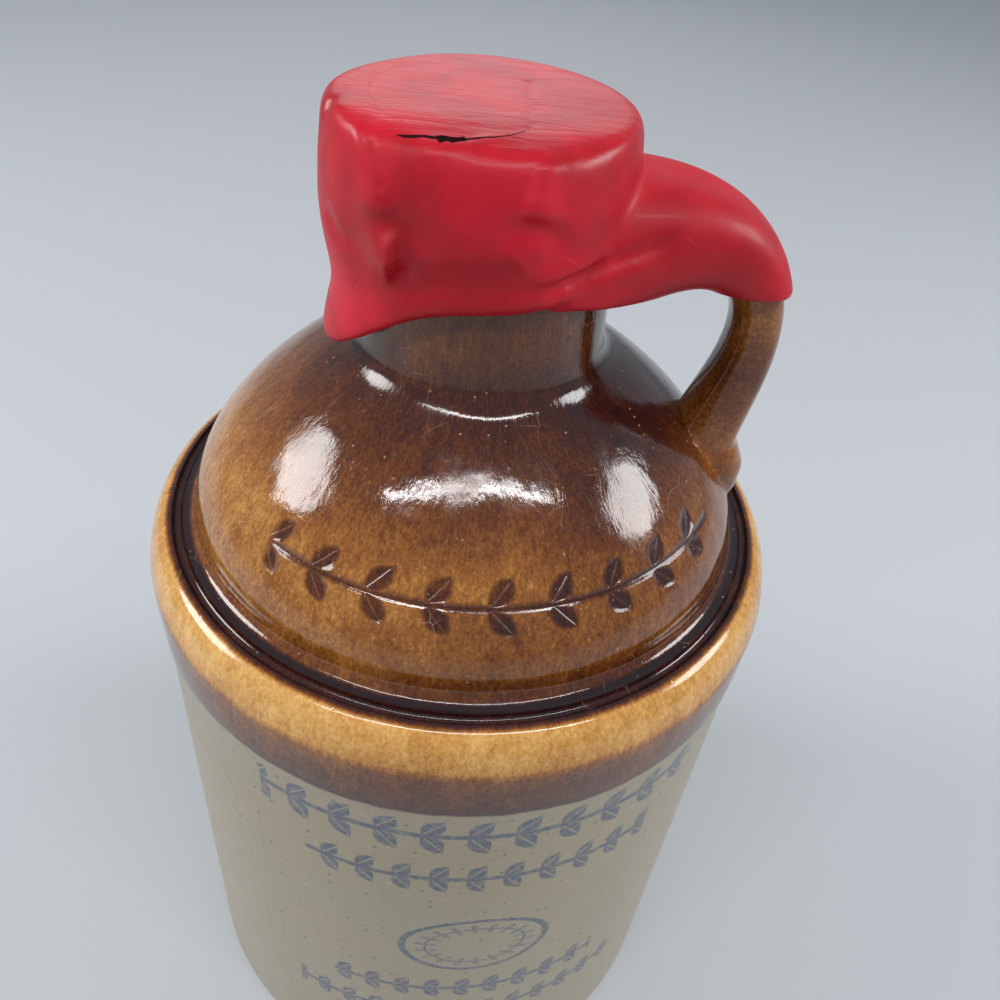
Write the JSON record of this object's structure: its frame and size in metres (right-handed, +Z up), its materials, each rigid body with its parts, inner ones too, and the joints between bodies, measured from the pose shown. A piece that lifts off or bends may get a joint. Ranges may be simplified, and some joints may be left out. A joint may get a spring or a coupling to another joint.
{
  "type": "stoneware whiskey jug",
  "caption": "Small shouldered stoneware jug with a finger loop handle, a domed two-tone glazed top and a wax-sealed cork that lifts out.",
  "frame": {"origin": "centre of the foot ring, on the surface that the jug stands on", "axes": "+Z up the jug's axis, +X towards the handle, -Y towards the decorated front"},
  "size_m": [0.1086, 0.1086, 0.1905],
  "materials": {
    "stoneware": "clear glazed buff stoneware wall, brown glazed rim",
    "brown_glaze": "glossy mottled brown glaze",
    "handle_glaze": "glossy brown glaze",
    "cork": "matte granular cork",
    "strip_paper": "matte blank paper",
    "red_wax": "satin red dipping wax"
  },
  "bodies": {
    "jug": {"crock": "stoneware", "dome_top": "brown_glaze", "handle": "handle_glaze", "strip_front": "strip_paper", "strip_back": "strip_paper", "wax_sleeve": "red_wax"},
    "stopper": {"cork": "cork", "strip_top": "strip_paper", "wax_cap": "red_wax"}
  },
  "joints": [
    {"name": "stopper_lift", "type": "slide", "parent": "jug", "child": "stopper", "axis": [0, 0, 1], "range_m": [0, 0.045]}
  ]
}
